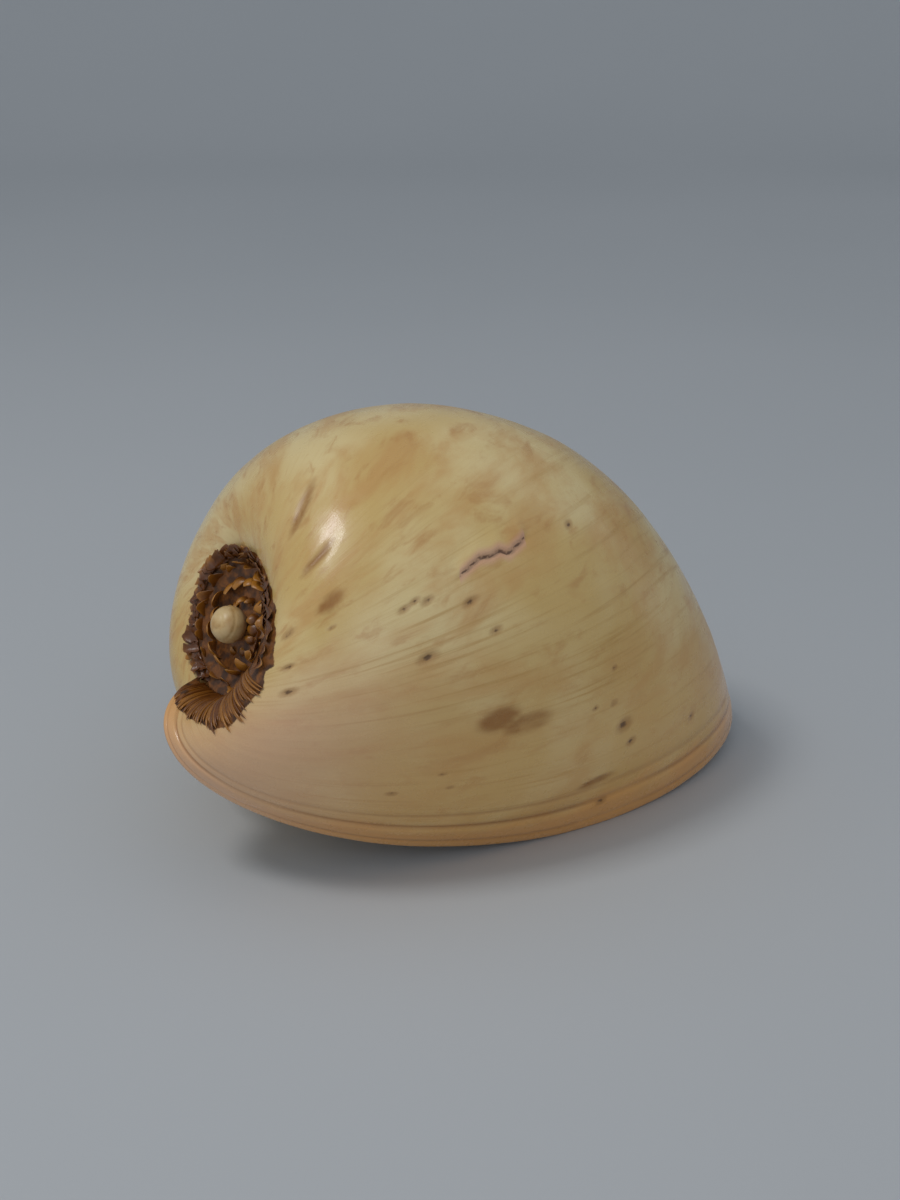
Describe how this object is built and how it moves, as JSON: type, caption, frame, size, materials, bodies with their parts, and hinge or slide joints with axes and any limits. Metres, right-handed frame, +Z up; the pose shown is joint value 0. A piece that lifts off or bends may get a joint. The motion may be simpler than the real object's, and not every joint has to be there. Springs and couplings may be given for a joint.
{
  "type": "melon shell",
  "caption": "Broad bailer-type sea snail shell lying on its wide mouth, with a low crowned spire, a pleated pillar and a thin lip.",
  "frame": {"origin": "centre of the bounding box's base, on the surface the shell lies on", "axes": "+Z up; the shell's own axis lies in the XZ plane, with the apex towards -X and the canal end towards +X"},
  "size_m": [0.1956, 0.125, 0.1171],
  "materials": {
    "shell": "gloss"
  },
  "bodies": {
    "root": {"shell": "shell"}
  },
  "joints": []
}
